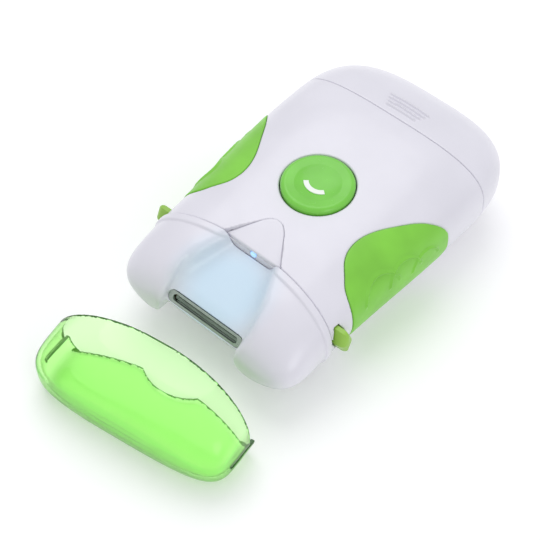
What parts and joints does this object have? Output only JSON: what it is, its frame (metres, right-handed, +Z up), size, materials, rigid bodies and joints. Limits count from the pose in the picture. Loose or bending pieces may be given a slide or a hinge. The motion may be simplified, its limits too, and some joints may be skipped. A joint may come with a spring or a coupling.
{
  "type": "battery nail grinder",
  "caption": "Palm-sized nail grinder with a slot head between two lobes, side grips, round push button, release buttons and a clear pull-off cover.",
  "frame": {"origin": "on the flat base, straight under the middle of the round power button", "axes": "+Z up from the base, -Y towards the grinding head, +X across the body"},
  "size_m": [0.0764, 0.1569, 0.0367],
  "materials": {
    "white_case": "semi-gloss moulded",
    "green_grip": "soft, satin",
    "green_button": "gloss",
    "mark_white": "gloss",
    "clear_green": "clear tinted plastic",
    "slot_dark": "satin",
    "drum_steel": "fine ribbed",
    "shaft_steel": "ground",
    "bush_brass": "satin",
    "gear_white": "moulded",
    "motor_steel": "plated",
    "motor_cap": "moulded",
    "bracket_grey": "moulded",
    "lamp_lens": "clear blue lens",
    "board_green": "circuit board",
    "switch_black": "moulded",
    "cell_wrap": "wrapped steel cell",
    "contact_steel": "nickel plated",
    "screw_steel": "zinc plated"
  },
  "bodies": {
    "body": {"top_shell": "white_case", "bottom_shell": "white_case", "housing_screws": "screw_steel", "grip_left": "green_grip", "grip_right": "green_grip", "brow": "white_case", "lamp_led": "lamp_lens", "lamp_board": "board_green", "body_idler_pin": "shaft_steel", "motor_can": "motor_steel", "motor_end_cap": "motor_cap", "motor_bracket": "bracket_grey", "release_springs": "contact_steel", "switch_body": "switch_black", "switch_board": "board_green", "battery_tray": "bracket_grey", "battery_cells": "cell_wrap", "battery_springs": "contact_steel", "battery_plates": "contact_steel"},
    "head": {"head_upper": "white_case", "head_lower": "white_case", "slot_plate": "slot_dark", "drum_bushes": "bush_brass", "head_idler_pin": "shaft_steel"},
    "drum": {"cutter_drum": "drum_steel", "drum_shaft": "shaft_steel", "drum_gear": "gear_white"},
    "head_idler": {"head_idler_gear": "gear_white"},
    "body_idler": {"body_idler_gear": "gear_white"},
    "rotor": {"motor_shaft": "shaft_steel", "motor_pinion": "gear_white"},
    "button": {"power_button": "green_button", "power_mark": "mark_white", "switch_plunger": "switch_black"},
    "release_button_left": {"release_left": "green_button"},
    "release_button_right": {"release_right": "green_button"},
    "battery_cover": {"rear_cap": "white_case"},
    "cover": {"front_cover": "clear_green"}
  },
  "joints": [
    {"name": "head_pull", "type": "slide", "parent": "body", "child": "head", "axis": [0, -1, 0], "range_m": [0, 0.014]},
    {"name": "cover_push_on", "type": "hinge", "parent": "head", "child": "cover", "pos_m": [0.18991, -0.05993, -0.00045], "axis": [0, 0.1519, -0.9884], "range_deg": [0, 7.4]},
    {"name": "rear_cap_pull", "type": "slide", "parent": "body", "child": "battery_cover", "axis": [0, 1, 0], "range_m": [0, 0.03]},
    {"name": "power_push", "type": "slide", "parent": "body", "child": "button", "axis": [0, 0, -1], "range_m": [0, 0.001], "stiffness_N_per_m": 900, "springref_m": -0.0005},
    {"name": "release_left_push", "type": "slide", "parent": "body", "child": "release_button_left", "axis": [1, 0, 0], "range_m": [0, 0.0013], "stiffness_N_per_m": 700, "springref_m": -0.0005},
    {"name": "release_right_push", "type": "slide", "parent": "body", "child": "release_button_right", "axis": [-1, 0, 0], "range_m": [0, 0.0013], "stiffness_N_per_m": 700, "springref_m": -0.0005},
    {"name": "drum_spin", "type": "hinge", "parent": "head", "child": "drum", "pos_m": [0, -0.0493, 0.0175], "axis": [1, 0, 0], "continuous": true},
    {"name": "head_idler_spin", "type": "hinge", "parent": "head", "child": "head_idler", "pos_m": [0.0185, -0.03828, 0.01672], "axis": [1, 0, 0], "continuous": true},
    {"name": "body_idler_spin", "type": "hinge", "parent": "body", "child": "body_idler", "pos_m": [0.0185, -0.02427, 0.01573], "axis": [1, 0, 0], "continuous": true},
    {"name": "motor_spin", "type": "hinge", "parent": "body", "child": "rotor", "pos_m": [0.0185, -0.014, 0.015], "axis": [1, 0, 0], "continuous": true}
  ],
  "couplings": [
    {"joint": "body_idler_spin", "follows": "motor_spin", "ratio": -0.45454},
    {"joint": "head_idler_spin", "follows": "motor_spin", "ratio": 0.55556},
    {"joint": "drum_spin", "follows": "motor_spin", "ratio": -0.71429}
  ]
}
